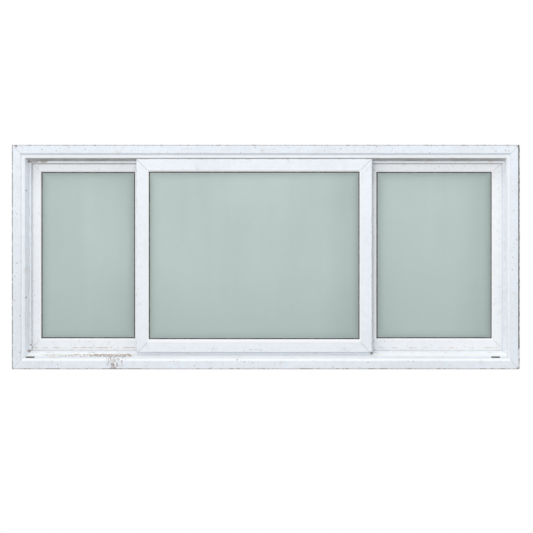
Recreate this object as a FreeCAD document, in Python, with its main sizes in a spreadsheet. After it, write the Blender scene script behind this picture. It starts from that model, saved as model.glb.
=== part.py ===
import FreeCAD, Part
import os
import Sketcher

doc = FreeCAD.newDocument("sliding_window")
sheet = doc.addObject("Spreadsheet::Sheet", "Sizes")

# All sizes are in millimetres. Depths count from the front of the fin, reaches from its outer edge.
sizes = [
    ("overall_width", 2062),
    ("overall_height", 902),
    ("fin_width", 33),
    ("fin_thick", 3),
    ("step_width", 8),
    ("step_depth", 6),
    ("lip_width", 12),
    ("lip_land", 2),
    ("slope_reach", 66),
    ("rib_depth", 38),
    ("rib_thick", 5),
    ("rib_reach", 74),
    ("floor_reach", 56),
    ("leg_reach", 76),
    ("leg_thick", 5),
    ("monorail_rise", 10),
    ("monorail_width", 5),
    ("running_clearance", 5),
    ("edge_round", 1.2),
    ("weep_length", 35),
    ("weep_rise", 4),
    ("weep_depth", 15),
    ("weep_level", 48),
    ("weep_left", 73),
    ("weep_right", 97),
    ("pile_width", 9),
    ("pile_setback", 0.5),
    ("pile_clearance", 0.4),
    ("panel_thick", 28),
    ("panel_lip", 4.5),
    ("panel_bevel", 6),
    ("panel_bevel_drop", 2.5),
    ("rebate_width", 13),
    ("gasket_thick", 1.5),
    ("gasket_show", 4.5),
    ("gasket_hidden", 9),
    ("pane_thick", 3),
    ("pane_edge_clearance", 2),
    ("spacer_thick", 10),
    ("spacer_width", 8),
    ("bead_joint", 0.3),
    ("bead_setback", 1),
    ("bead_bevel", 4),
    ("centre_left", 505),
    ("centre_right", 600.5),
    ("centre_front", 5),
    ("centre_top", 56.5),
    ("centre_bottom", 68),
    ("centre_stile", 50),
    ("centre_top_rail", 51),
    ("centre_bottom_rail", 52.5),
    ("foot_depth", 20),
    ("seat_clearance", 0.3),
    ("sash_top", 64),
    ("sash_bottom", 71),
    ("sash_stile", 50),
    ("lock_stile", 58),
    ("sash_top_rail", 45),
    ("sash_bottom_rail", 53),
    ("shut_clearance", 6),
    ("meeting_lap", 38),
    ("channel_width", 12),
    ("channel_depth", 15),
    ("hook_thick", 4),
    ("hook_rise", 10),
    ("hook_inset", 2),
    ("hook_end", 24),
    ("roller_radius", 8),
    ("roller_width", 5),
    ("roller_clearance", 0.3),
    ("roller_inset", 88),
    ("housing_length", 46),
    ("housing_set", 3),
    ("latch_length", 64),
    ("latch_width", 20),
    ("latch_base", 3.5),
    ("latch_boss", 7.5),
    ("latch_boss_rise", 3),
    ("lever_length", 36),
    ("lever_width", 8),
    ("lever_thick", 3),
    ("pull_length", 130),
    ("pull_width", 16),
    ("pull_rise", 9),
    ("pull_wall", 3),
    ("pull_clearance", 5),
]

for row, (alias, number) in enumerate(sizes, start=1):
    sheet.set("A%d" % row, alias)
    sheet.set("B%d" % row, "%g" % number)
    sheet.setAlias("B%d" % row, alias)
doc.recompute()

words = sorted((alias for alias, number in sizes), key=len, reverse=True)


def bound(formula):
    # Puts the sheet's name before each size that a formula uses.
    parts = []
    word = ""
    for letter in formula + " ":
        if letter.isalpha() or letter == "_" or (word and letter.isdigit()):
            word += letter
            continue
        parts.append("Sizes." + word if word in words else word)
        parts.append(letter)
        word = ""
    return "".join(parts).strip()


def value(formula):
    return float(sheet.evalExpression(formula))


def plane(body, role):
    return next(item for item in body.Origin.OriginFeatures if item.Role == role)


def sketch(body, name, role, loops):
    # Draws closed outlines whose corners are all held by formulas.
    drawing = body.newObject("Sketcher::SketchObject", name)
    drawing.AttachmentSupport = [(plane(body, role), "")]
    drawing.MapMode = "FlatFace"
    for loop in loops:
        first = len(drawing.Geometry)
        count = len(loop)
        spots = [FreeCAD.Vector(value(across), value(up), 0) for across, up in loop]
        for index in range(count):
            drawing.addGeometry(Part.LineSegment(spots[index], spots[(index + 1) % count]), False)
        for index in range(count):
            follow = first + (index + 1) % count
            drawing.addConstraint(Sketcher.Constraint("Coincident", first + index, 2, follow, 1))
        for index, (across, up) in enumerate(loop):
            rule = Sketcher.Constraint("DistanceX", -1, 1, first + index, 1, spots[index].x)
            number = drawing.addConstraint(rule)
            drawing.setExpression("Constraints[%d]" % number, bound(across))
            rule = Sketcher.Constraint("DistanceY", -1, 1, first + index, 1, spots[index].y)
            number = drawing.addConstraint(rule)
            drawing.setExpression("Constraints[%d]" % number, bound(up))
    return drawing


def pad(body, name, drawing, length, backward=False):
    feature = body.newObject("PartDesign::Pad", name)
    feature.Profile = drawing
    feature.setExpression("Length", bound(length))
    feature.Reversed = backward
    doc.recompute()
    return feature


def cut_through(body, name, drawing):
    feature = body.newObject("PartDesign::Pocket", name)
    feature.Profile = drawing
    feature.Type = "ThroughAll"
    feature.SideType = "Symmetric"
    doc.recompute()
    return feature


def round_along(body, name, feature, spots, radius):
    # Rounds the long edges that run through the given places of the section.
    chosen = []
    for number, edge in enumerate(feature.Shape.Edges, start=1):
        ends = [vertex.Point for vertex in edge.Vertexes]
        if len(ends) != 2 or abs(ends[0].x - ends[1].x) < 1:
            continue
        for depth, reach in spots:
            near = [abs(end.y - value(depth)) + abs(end.z - value(reach)) for end in ends]
            if max(near) < 0.001:
                chosen.append("Edge%d" % number)
    rounding = body.newObject("PartDesign::Fillet", name)
    rounding.Base = (feature, chosen)
    rounding.setExpression("Radius", bound(radius))
    doc.recompute()
    return rounding


def place(item, across, depth, height, turn=0):
    # Across counts from the left end, depth from the fin's front and height from the lower edge.
    spin = FreeCAD.Rotation(FreeCAD.Vector(0, 1, 0), turn)
    item.Placement = FreeCAD.Placement(FreeCAD.Vector(0, 0, 0), spin)
    item.setExpression("Placement.Base.x", bound("(%s) - overall_width / 2" % across))
    item.setExpression("Placement.Base.y", bound("(%s) - fin_thick" % depth))
    item.setExpression("Placement.Base.z", bound("(%s) - fin_width / 2" % height))


def member(label, section, length, width, start_run, end_run, rounds=(), joint="0"):
    # A length of profile with both ends mitred, lying along X with its section in depth and reach.
    body = doc.addObject("PartDesign::Body", label)
    body.Label = label
    drawing = sketch(body, label + "_section", "YZ_Plane", [section])
    feature = pad(body, label + "_pad", drawing, length)
    if rounds:
        feature = round_along(body, label + "_round", feature, rounds, "edge_round")
    top = "(%s) + 1" % width
    start = "(%s) / (%s) * (%s) + (%s)" % (start_run, width, top, joint)
    finish = "(%s) - (%s) / (%s) * (%s) - (%s)" % (length, end_run, width, top, joint)
    loops = [
        [("-1", "0"), (joint, "0"), (start, top), ("-1", top)],
        [
            ("(%s) + 1" % length, "0"),
            ("(%s) - (%s)" % (length, joint), "0"),
            (finish, top),
            ("(%s) + 1" % length, top),
        ],
    ]
    drawing = sketch(body, label + "_mitre", "XZ_Plane", loops)
    before = feature.Shape.Volume
    body.Tip = cut_through(body, label + "_cut", drawing)
    if not body.Tip.Shape.Volume < before:
        raise RuntimeError(label + " was not mitred")
    return body


def ring(label, left, right, bottom, top, band, thick, depth):
    # A flat frame of one thickness that stands in the opening.
    body = doc.addObject("PartDesign::Body", label)
    body.Label = label
    wide = "(%s) - (%s)" % (right, left)
    tall = "(%s) - (%s)" % (top, bottom)
    inner_wide = "(%s) - (%s)" % (wide, band)
    inner_tall = "(%s) - (%s)" % (tall, band)
    loops = [
        [("0", "0"), (wide, "0"), (wide, tall), ("0", tall)],
        [(band, band), (inner_wide, band), (inner_wide, inner_tall), (band, inner_tall)],
    ]
    drawing = sketch(body, label + "_outline", "XZ_Plane", loops)
    pad(body, label + "_pad", drawing, thick, backward=True)
    place(body, left, depth, bottom)
    return body


def block(label, wide, deep, tall):
    box = doc.addObject("Part::Box", label)
    box.Label = label
    box.setExpression("Length", bound(wide))
    box.setExpression("Width", bound(deep))
    box.setExpression("Height", bound(tall))
    return box


nodes = []

lip_reach = "fin_width + step_width + lip_width"
rib_back = "rib_depth + rib_thick"
sash_front = "rib_depth + rib_thick + running_clearance"
leg_front = "rib_depth + rib_thick + 2 * running_clearance + panel_thick"
frame_depth = leg_front + " + leg_thick"
track_middle = "rib_depth + rib_thick + running_clearance + panel_thick / 2"
monorail_top = "floor_reach + monorail_rise"
slope_rise = "(slope_reach - (%s)) / (rib_depth - step_depth - lip_land)" % lip_reach


def slope_at(depth):
    # How far in the sloped floor of the outer track reaches at a depth.
    return "(%s) + %s * ((%s) - step_depth - lip_land)" % (lip_reach, slope_rise, depth)


# Outer frame
frame_front = [
    ("0", "0"),
    ("0", "fin_width"),
    ("step_depth", "fin_width + step_width"),
    ("step_depth", lip_reach),
    ("step_depth + lip_land", lip_reach),
    ("rib_depth", "slope_reach"),
    ("rib_depth", "rib_reach"),
    (rib_back, "rib_reach"),
    (rib_back, "floor_reach"),
]
monorail = [
    (track_middle + " - monorail_width / 2", "floor_reach"),
    (track_middle + " - monorail_width / 2", monorail_top),
    (track_middle + " + monorail_width / 2", monorail_top),
    (track_middle + " + monorail_width / 2", "floor_reach"),
]
frame_back = [
    (leg_front, "floor_reach"),
    (leg_front, "leg_reach"),
    (frame_depth, "leg_reach"),
    (frame_depth, "fin_width"),
    ("fin_thick", "fin_width"),
    ("fin_thick", "0"),
]
frame_rounds = [
    ("0", "0"),
    ("step_depth", lip_reach),
    ("rib_depth", "rib_reach"),
    (leg_front, "leg_reach"),
    (frame_depth, "leg_reach"),
]


def frame_member(label, length, section):
    body = member(label, section, length, "leg_reach", "leg_reach", "leg_reach", frame_rounds)
    nodes.append(body)
    return body


sill = frame_member("frame_sill", "overall_width", frame_front + monorail + frame_back)
place(sill, "0", "0", "0")
head = frame_member("frame_head", "overall_width", frame_front + frame_back)
place(head, "overall_width", "0", "overall_height", 180)
left_jamb = frame_member("frame_left_jamb", "overall_height", frame_front + frame_back)
place(left_jamb, "0", "0", "overall_height", 90)
right_jamb = frame_member("frame_right_jamb", "overall_height", frame_front + frame_back)
place(right_jamb, "overall_width", "0", "0", -90)

# Weep slots through the lip of the sill
weep_low = "weep_level - weep_rise / 2"
weep_high = "weep_level + weep_rise / 2"
slots = []
for middle in ("weep_left", "overall_width - weep_right"):
    slots.append([
        (middle + " - weep_length / 2", weep_low),
        (middle + " + weep_length / 2", weep_low),
        (middle + " + weep_length / 2", weep_high),
        (middle + " - weep_length / 2", weep_high),
    ])
weeps = sketch(sill, "weep_outline", "XZ_Plane", slots)
solid = sill.Shape.Volume
weep_cut = sill.newObject("PartDesign::Pocket", "weep_cut")
weep_cut.Profile = weeps
weep_cut.setExpression("Length", bound("step_depth + weep_depth"))
sill.Tip = weep_cut
doc.recompute()
if not sill.Shape.Volume < solid - 1000:
    raise RuntimeError("the weep slots were not cut")

# Pile strips behind the rib, brushing the sashes
pile_low = "rib_reach - pile_setback - pile_width"
pile_section = [
    ("0", "0"),
    ("0", "pile_width"),
    ("running_clearance - pile_clearance", "pile_width"),
    ("running_clearance - pile_clearance", "0"),
]


def pile(label, length):
    shortened = "%s - 2 * (%s)" % (length, pile_low)
    body = member(label, pile_section, shortened, "pile_width", "pile_width", "pile_width")
    nodes.append(body)
    return body


far_end = "overall_width - (%s)" % pile_low
high_end = "overall_height - (%s)" % pile_low
place(pile("sill_pile", "overall_width"), pile_low, rib_back, pile_low)
place(pile("head_pile", "overall_width"), far_end, rib_back, high_end, 180)
place(pile("left_jamb_pile", "overall_height"), pile_low, rib_back, high_end, 90)
place(pile("right_jamb_pile", "overall_height"), far_end, rib_back, pile_low, -90)


def panel_section(width, channel, seat=()):
    # Section of a glazed panel's rail or stile, with its rebate for the glass.
    section = [
        ("0", "0"),
        ("0", "%s - panel_bevel" % width),
        ("panel_bevel_drop", width),
        ("panel_lip", width),
        ("panel_lip", "%s - rebate_width" % width),
        ("panel_thick", "%s - rebate_width" % width),
    ]
    if seat:
        section += seat
    else:
        section.append(("panel_thick", "0"))
    if channel:
        section += [
            ("panel_thick / 2 + channel_width / 2", "0"),
            ("panel_thick / 2 + channel_width / 2", "channel_depth"),
            ("panel_thick / 2 - channel_width / 2", "channel_depth"),
            ("panel_thick / 2 - channel_width / 2", "0"),
        ]
    return section


def add_hook(body, label, length, inset, depth):
    # A thin fin along a meeting stile that laps past its neighbour's.
    drawing = sketch(body, label + "_hook_outline", "XZ_Plane", [[
        ("hook_end", inset),
        ("(%s) - hook_end" % length, inset),
        ("(%s) - hook_end" % length, "%s + hook_thick" % inset),
        ("hook_end", "%s + hook_thick" % inset),
    ]])
    if depth:
        drawing.setExpression("AttachmentOffset.Base.z", bound("-(%s)" % depth))
    solid = body.Shape.Volume
    hook = pad(body, label + "_hook", drawing, "hook_rise", backward=bool(depth))
    body.Tip = hook
    doc.recompute()
    grown = value("hook_rise * hook_thick * ((%s) - 2 * hook_end)" % length)
    if abs(body.Shape.Volume - solid - grown) > 1:
        raise RuntimeError(label + " has no whole hook")


def bevel_stile(body, label, length, far):
    # Takes the upper end of a stile back along the sloped track.
    loop = [
        ("-1", touch_depth),
        ("0", touch_depth),
        (bevel_reach, "panel_thick"),
        (bevel_reach, "panel_thick + 1"),
        ("-1", "panel_thick + 1"),
    ]
    if far:
        loop = [("(%s) - (%s)" % (length, along), depth) for along, depth in loop]
    drawing = sketch(body, label + "_bevel_outline", "XY_Plane", [loop])
    solid = body.Shape.Volume
    body.Tip = cut_through(body, label + "_bevel", drawing)
    if not body.Shape.Volume < solid:
        raise RuntimeError(label + " was not bevelled")


def glaze(name, left, right, bottom, top, front, left_stile, right_stile, top_rail, bottom_rail):
    # Gasket, sealed unit and beads of one panel, inside its four rails and stiles.
    in_left = "%s + %s" % (left, left_stile)
    in_right = "%s - %s" % (right, right_stile)
    in_bottom = "%s + %s" % (bottom, bottom_rail)
    in_top = "%s - %s" % (top, top_rail)
    depth = "%s + panel_lip" % front
    gasket = ring(
        name + "_gasket",
        in_left + " - gasket_hidden", in_right + " + gasket_hidden",
        in_bottom + " - gasket_hidden", in_top + " + gasket_hidden",
        "gasket_hidden + gasket_show", "gasket_thick", depth,
    )
    nodes.append(gasket)
    hidden = "(rebate_width - pane_edge_clearance)"
    wide = "%s - (%s) + 2 * %s" % (in_right, in_left, hidden)
    tall = "%s - (%s) + 2 * %s" % (in_top, in_bottom, hidden)
    depth += " + gasket_thick"
    for label in ("_outer_glass", "_inner_glass"):
        pane = block(name + label, wide, "pane_thick", tall)
        place(pane, "%s - %s" % (in_left, hidden), depth, "%s - %s" % (in_bottom, hidden))
        nodes.append(pane)
        depth += " + pane_thick + spacer_thick"
    spacer = ring(
        name + "_spacer",
        in_left + " - " + hidden, in_right + " + " + hidden,
        in_bottom + " - " + hidden, in_top + " + " + hidden,
        "spacer_width", "spacer_thick", "%s + panel_lip + gasket_thick + pane_thick" % front,
    )
    nodes.append(spacer)
    sealed = "panel_lip + gasket_thick + 2 * pane_thick + spacer_thick"
    bead_depth = "panel_thick - (%s)" % sealed
    bead_width = "rebate_width - bead_setback"
    bead = [
        ("0", "0"),
        ("0", bead_width),
        ("bead_bevel / 2", bead_width),
        (bead_depth, "%s - bead_bevel" % bead_width),
        (bead_depth, "0"),
    ]
    reach_wide = "%s - (%s) + 2 * rebate_width" % (in_right, in_left)
    reach_tall = "%s - (%s) + 2 * rebate_width" % (in_top, in_bottom)
    low_left = in_left + " - rebate_width"
    low = in_bottom + " - rebate_width"
    high_right = in_right + " + rebate_width"
    high = in_top + " + rebate_width"
    depth = "%s + %s" % (front, sealed)
    strips = []
    for side, length, across, height, turn in (
        ("_lower_bead", reach_wide, low_left, low, 0),
        ("_upper_bead", reach_wide, high_right, high, 180),
        ("_left_bead", reach_tall, low_left, high, 90),
        ("_right_bead", reach_tall, high_right, low, -90),
    ):
        strip = member(
            name + side, bead, length, bead_width, bead_width, bead_width, joint="bead_joint",
        )
        place(strip, across, depth, height, turn)
        strips.append(strip)
    beads = doc.addObject("Part::Compound", name + "_beads")
    beads.Label = name + "_beads"
    beads.Links = strips
    nodes.append(beads)


# Fixed centre panel
left = "centre_left"
right = "overall_width - centre_right"
bottom = "centre_bottom"
top = "overall_height - centre_top"
wide = "%s - %s" % (right, left)
tall = "%s - (%s)" % (top, bottom)
soft_edge = [("0", "0")]
back_reach = slope_at("centre_front + panel_thick") + " + seat_clearance"
foot_reach = slope_at("centre_front + foot_depth") + " + seat_clearance"
foot = [
    ("panel_thick", "%s - centre_bottom" % back_reach),
    ("foot_depth", "%s - centre_bottom" % foot_reach),
    ("foot_depth", "0"),
]
rail = member(
    "centre_bottom_rail", panel_section("centre_bottom_rail", False, foot),
    wide, "centre_bottom_rail", "centre_stile", "centre_stile", soft_edge,
)
place(rail, left, "centre_front", bottom)
nodes.append(rail)
touch = "(centre_top - seat_clearance - (%s)) / (%s)" % (lip_reach, slope_rise)
touch_depth = "step_depth + lip_land - centre_front + " + touch
bevel_reach = "%s - centre_top" % back_reach
bevel = [("panel_thick", bevel_reach), (touch_depth, "0")]
rail = member(
    "centre_top_rail", panel_section("centre_top_rail", False, bevel),
    wide, "centre_top_rail", "centre_stile", "centre_stile", soft_edge,
)
place(rail, right, "centre_front", top, 180)
nodes.append(rail)
hook_place = "meeting_lap - hook_inset - 2 * hook_thick - running_clearance"
for label, across, height, turn, first, last in (
    ("centre_left_stile", left, top, 90, "centre_top_rail", "centre_bottom_rail"),
    ("centre_right_stile", right, bottom, -90, "centre_bottom_rail", "centre_top_rail"),
):
    stile = member(
        label, panel_section("centre_stile", False), tall, "centre_stile", first, last, soft_edge,
    )
    bevel_stile(stile, label, tall, turn < 0)
    add_hook(stile, label, tall, hook_place, "panel_thick")
    place(stile, across, "centre_front", height, turn)
    nodes.append(stile)
glaze(
    "centre", left, right, bottom, top, "centre_front",
    "centre_stile", "centre_stile", "centre_top_rail", "centre_bottom_rail",
)


def sash(name, left, right, meeting_side, jamb_stile):
    # One sliding sash, with its rollers, latch and pull.
    left_stile = "sash_stile" if meeting_side == "left" else jamb_stile
    right_stile = "sash_stile" if meeting_side == "right" else jamb_stile
    bottom = "sash_bottom"
    top = "overall_height - sash_top"
    wide = "%s - (%s)" % (right, left)
    tall = "%s - %s" % (top, bottom)
    rail = member(
        name + "_bottom_rail", panel_section("sash_bottom_rail", True),
        wide, "sash_bottom_rail", left_stile, right_stile, soft_edge,
    )
    place(rail, left, sash_front, bottom)
    nodes.append(rail)
    rail = member(
        name + "_top_rail", panel_section("sash_top_rail", True),
        wide, "sash_top_rail", right_stile, left_stile, soft_edge,
    )
    place(rail, right, sash_front, top, 180)
    nodes.append(rail)
    for side, across, height, turn, width, first, last in (
        ("left", left, top, 90, left_stile, "sash_top_rail", "sash_bottom_rail"),
        ("right", right, bottom, -90, right_stile, "sash_bottom_rail", "sash_top_rail"),
    ):
        meeting = side == meeting_side
        label = name + ("_meeting_stile" if meeting else "_jamb_stile")
        section = panel_section(width, not meeting)
        stile = member(label, section, tall, width, first, last, soft_edge)
        if meeting:
            add_hook(stile, label, tall, "hook_inset", "")
        place(stile, across, sash_front, height, turn)
        nodes.append(stile)
    glaze(
        name, left, right, bottom, top, sash_front,
        left_stile, right_stile, "sash_top_rail", "sash_bottom_rail",
    )

    # Roller units in the channel of the bottom rail
    units = []
    axle = monorail_top + " + roller_clearance + roller_radius"
    for side, across in (
        ("near", "%s + roller_inset" % left),
        ("far", "%s - roller_inset" % right),
    ):
        housing = block(
            name + "_housing_" + side,
            "housing_length", "channel_width", "channel_depth - housing_set",
        )
        place(
            housing, across + " - housing_length / 2",
            track_middle + " - channel_width / 2", bottom + " + housing_set",
        )
        wheel = doc.addObject("Part::Cylinder", name + "_wheel_" + side)
        wheel.setExpression("Radius", bound("roller_radius"))
        wheel.setExpression("Height", bound("roller_width"))
        lying = FreeCAD.Rotation(FreeCAD.Vector(1, 0, 0), 90)
        wheel.Placement = FreeCAD.Placement(FreeCAD.Vector(0, 0, 0), lying)
        wheel.setExpression("Placement.Base.x", bound("(%s) - overall_width / 2" % across))
        middle = track_middle + " + roller_width / 2 - fin_thick"
        wheel.setExpression("Placement.Base.y", bound(middle))
        wheel.setExpression("Placement.Base.z", bound(axle + " - fin_width / 2"))
        unit = doc.addObject("Part::Fuse", name + "_roller_" + side)
        unit.Base = housing
        unit.Tool = wheel
        units.append(unit)
    rollers = doc.addObject("Part::Compound", name + "_rollers")
    rollers.Label = name + "_rollers"
    rollers.Links = units
    nodes.append(rollers)

    # Cam latch on the room side of the meeting stile
    latch = doc.addObject("PartDesign::Body", name + "_latch")
    latch.Label = name + "_latch"
    plate = sketch(latch, name + "_latch_plate", "XZ_Plane", [[
        ("-latch_width / 2", "-latch_length / 2"),
        ("latch_width / 2", "-latch_length / 2"),
        ("latch_width / 2", "latch_length / 2"),
        ("-latch_width / 2", "latch_length / 2"),
    ]])
    pad(latch, name + "_latch_base", plate, "latch_base", backward=True)
    boss = latch.newObject("Sketcher::SketchObject", name + "_latch_boss_outline")
    boss.AttachmentSupport = [(plane(latch, "XZ_Plane"), "")]
    boss.MapMode = "FlatFace"
    radius = value("latch_boss")
    round_boss = Part.Circle(FreeCAD.Vector(0, 0, 0), FreeCAD.Vector(0, 0, 1), radius)
    boss.addGeometry(round_boss, False)
    boss.addConstraint(Sketcher.Constraint("Coincident", 0, 3, -1, 1))
    number = boss.addConstraint(Sketcher.Constraint("Radius", 0, radius))
    boss.setExpression("Constraints[%d]" % number, bound("latch_boss"))
    pad(latch, name + "_latch_boss", boss, "latch_base + latch_boss_rise", backward=True)
    lever = sketch(latch, name + "_lever_outline", "XZ_Plane", [[
        ("-lever_width / 2", "-lever_length"),
        ("lever_width / 2", "-lever_length"),
        ("lever_width / 2", "lever_width / 2"),
        ("-lever_width / 2", "lever_width / 2"),
    ]])
    lever.setExpression("AttachmentOffset.Base.z", bound("-(latch_base + latch_boss_rise)"))
    pad(latch, name + "_lever", lever, "lever_thick", backward=True)
    middle = "(%s) / 2 + (%s) / 2" % (bottom, top)
    if meeting_side == "left":
        across = "%s + sash_stile / 2 - rebate_width / 2" % left
    else:
        across = "%s - sash_stile / 2 + rebate_width / 2" % right
    place(latch, across, sash_front + " + panel_thick", middle)
    nodes.append(latch)

    # Finger pull on the room side of the jamb stile
    pull = doc.addObject("PartDesign::Body", name + "_pull")
    pull.Label = name + "_pull"
    outline = sketch(pull, name + "_pull_outline", "XY_Plane", [[
        ("0", "0"),
        ("pull_width", "0"),
        ("pull_width", "pull_wall"),
        ("pull_wall", "pull_wall"),
        ("pull_wall", "pull_rise"),
        ("0", "pull_rise"),
    ]])
    pad(pull, name + "_pull_pad", outline, "pull_length")
    if meeting_side == "left":
        across = "overall_width - leg_reach - pull_clearance - pull_width"
    else:
        across = "leg_reach + pull_clearance"
    place(pull, across, sash_front + " + panel_thick", middle + " - pull_length / 2")
    nodes.append(pull)


sash(
    "left_sash", "floor_reach + shut_clearance",
    "centre_left + meeting_lap", "right", "sash_stile",
)
sash(
    "right_sash", "overall_width - centre_right - meeting_lap",
    "overall_width - floor_reach - shut_clearance", "left", "lock_stile",
)

doc.recompute()
for item in doc.Objects:
    for word in ("Invalid", "Error"):
        if word in item.State:
            raise RuntimeError("%s is %s" % (item.Label, word))

os.makedirs("parts", exist_ok=True)
for item in nodes:
    shape = item.Shape
    if shape.isNull() or not shape.isValid() or not shape.Solids:
        raise RuntimeError("%s has no valid solid" % item.Label)
    shape.exportStep("parts/%s.step" % item.Label)
print("wrote", len(nodes), "nodes")
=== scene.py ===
import math
from types import SimpleNamespace

import bmesh
import bpy
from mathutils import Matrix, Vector


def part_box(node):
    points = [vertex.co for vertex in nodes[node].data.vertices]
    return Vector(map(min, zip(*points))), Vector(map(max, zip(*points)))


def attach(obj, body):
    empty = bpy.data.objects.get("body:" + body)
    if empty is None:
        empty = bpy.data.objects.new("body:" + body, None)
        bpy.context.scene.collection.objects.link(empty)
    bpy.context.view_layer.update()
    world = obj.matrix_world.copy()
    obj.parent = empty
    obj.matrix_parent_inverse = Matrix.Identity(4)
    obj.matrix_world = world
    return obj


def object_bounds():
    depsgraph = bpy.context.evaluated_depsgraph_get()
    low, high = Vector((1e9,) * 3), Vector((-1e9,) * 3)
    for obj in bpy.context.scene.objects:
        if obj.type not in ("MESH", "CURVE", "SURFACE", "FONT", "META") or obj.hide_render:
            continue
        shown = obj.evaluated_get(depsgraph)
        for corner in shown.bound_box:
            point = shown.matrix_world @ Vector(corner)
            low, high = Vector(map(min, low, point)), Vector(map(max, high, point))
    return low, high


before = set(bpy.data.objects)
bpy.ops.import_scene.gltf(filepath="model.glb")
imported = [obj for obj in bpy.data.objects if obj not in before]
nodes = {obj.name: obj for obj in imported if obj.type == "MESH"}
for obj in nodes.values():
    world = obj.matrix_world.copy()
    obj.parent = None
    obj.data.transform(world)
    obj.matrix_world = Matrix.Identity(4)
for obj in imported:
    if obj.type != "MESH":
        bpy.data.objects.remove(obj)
cadLow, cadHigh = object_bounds()
scene = bpy.context.scene
print("frame loaded:", len(nodes), "nodes")


def spanOf(*names):
    boxes = [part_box(name) for name in names]
    low = Vector([min(box[0][axis] for box in boxes) for axis in range(3)])
    high = Vector([max(box[1][axis] for box in boxes) for axis in range(3)])
    return low, high


def panelOf(left, right, top, bottom):
    # outline of a panel, and the widths of its members as the seams need them
    low, high = spanOf(left, right, top, bottom)
    widths = {
        "Left Stile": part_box(left)[1].x - low.x,
        "Right Stile": high.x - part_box(right)[0].x,
        "Top Rail": high.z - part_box(top)[0].z,
        "Bottom Rail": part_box(bottom)[1].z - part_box(left)[0].z,
    }
    return low, high, widths


frameLow, frameHigh = spanOf("frame_sill", "frame_head", "frame_left_jamb", "frame_right_jamb")


def paint(red, green, blue):
    # screen colour, 0 to 255, as the shader wants it
    parts = []
    for part in (red, green, blue):
        part = part / 255
        parts.append(part / 12.92 if part <= 0.04045 else ((part + 0.055) / 1.055) ** 2.4)
    return (*parts, 1.0)


def addNode(tree, kind, **settings):
    node = tree.nodes.new(kind)
    for key, value in settings.items():
        setattr(node, key, value)
    return node


def feed(tree, source, socket):
    # an output is linked, a plain value is set on the socket
    if isinstance(source, bpy.types.NodeSocket):
        tree.links.new(source, socket)
    else:
        socket.default_value = source


def calc(tree, operation, *values, clamp=False):
    node = addNode(tree, "ShaderNodeMath", operation=operation, use_clamp=clamp)
    for index, value in enumerate(values):
        feed(tree, value, node.inputs[index])
    return node.outputs[0]


def times(tree, first, *others):
    for other in others:
        first = calc(tree, "MULTIPLY", first, other)
    return first


def shareOf(tree, first, share, second):
    # the first by its share, plus the second by the rest
    return calc(tree, "MULTIPLY_ADD", first, share, times(tree, second, 1 - share))


def strongest(tree, masks):
    total = masks[0]
    for mask in masks[1:]:
        total = calc(tree, "MAXIMUM", total, mask)
    return total


def ramp(tree, value, low, high, atLow=0.0, atHigh=1.0):
    node = addNode(tree, "ShaderNodeMapRange", interpolation_type="SMOOTHSTEP")
    for index, part in enumerate((value, low, high, atLow, atHigh)):
        feed(tree, part, node.inputs[index])
    return node.outputs[0]


def rampFrom(tree, value, start, low, high, atLow=0.0, atHigh=1.0):
    # as ramp, with low and high counted from a start
    return ramp(tree, value, start + low, start + high, atLow, atHigh)


def within(tree, value, low, high, soft):
    # 1 between low and high, with soft ends
    rise = ramp(tree, value, low - soft, low)
    fall = ramp(tree, value, high, high + soft, 1.0, 0.0)
    return times(tree, rise, fall)


def tint(tree, factor, first, second):
    # sockets 6, 7 and 2 are the mix node's colours
    node = addNode(tree, "ShaderNodeMix", data_type="RGBA", blend_type="MIX")
    feed(tree, factor, node.inputs[0])
    feed(tree, first, node.inputs[6])
    feed(tree, second, node.inputs[7])
    return node.outputs[2]


def split(tree, vector):
    node = addNode(tree, "ShaderNodeSeparateXYZ")
    feed(tree, vector, node.inputs[0])
    return node.outputs


def stretch(tree, vector, scale):
    node = addNode(tree, "ShaderNodeMapping")
    feed(tree, vector, node.inputs["Vector"])
    feed(tree, scale, node.inputs["Scale"])
    return node.outputs[0]


def cloud(tree, vector, scale, detail=3.0, rough=0.5):
    node = addNode(tree, "ShaderNodeTexNoise")
    feed(tree, vector, node.inputs["Vector"])
    feed(tree, scale, node.inputs["Scale"])
    feed(tree, detail, node.inputs["Detail"])
    feed(tree, rough, node.inputs["Roughness"])
    return node.outputs[0]


def newGroup(name, inputs, outputs):
    group = bpy.data.node_groups.new(name, "ShaderNodeTree")
    for label, kind, value in inputs:
        socket = group.interface.new_socket(label, in_out="INPUT", socket_type="NodeSocket" + kind)
        if value is not None:
            socket.default_value = value
    for label, kind in outputs:
        group.interface.new_socket(label, in_out="OUTPUT", socket_type="NodeSocket" + kind)
    given = addNode(group, "NodeGroupInput").outputs
    result = addNode(group, "NodeGroupOutput").inputs
    return group, given, result


def useGroup(tree, group, values):
    node = addNode(tree, "ShaderNodeGroup", node_tree=group)
    for label, value in values.items():
        feed(tree, value, node.inputs[label])
    return node.outputs


speckShape = {
    "wobbleScale": 420.0,   # noise in the lookup keeps the specks from being round
    "wobbleDetail": 3.0,
    "wobblePush": 0.0045,
    "sizePower": 2.5,       # many are tiny and a few are large
    "smallest": 0.25,
    "sizeSpread": 0.85,
    "core": 0.35,           # share of the radius that is fully covered
}


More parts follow.
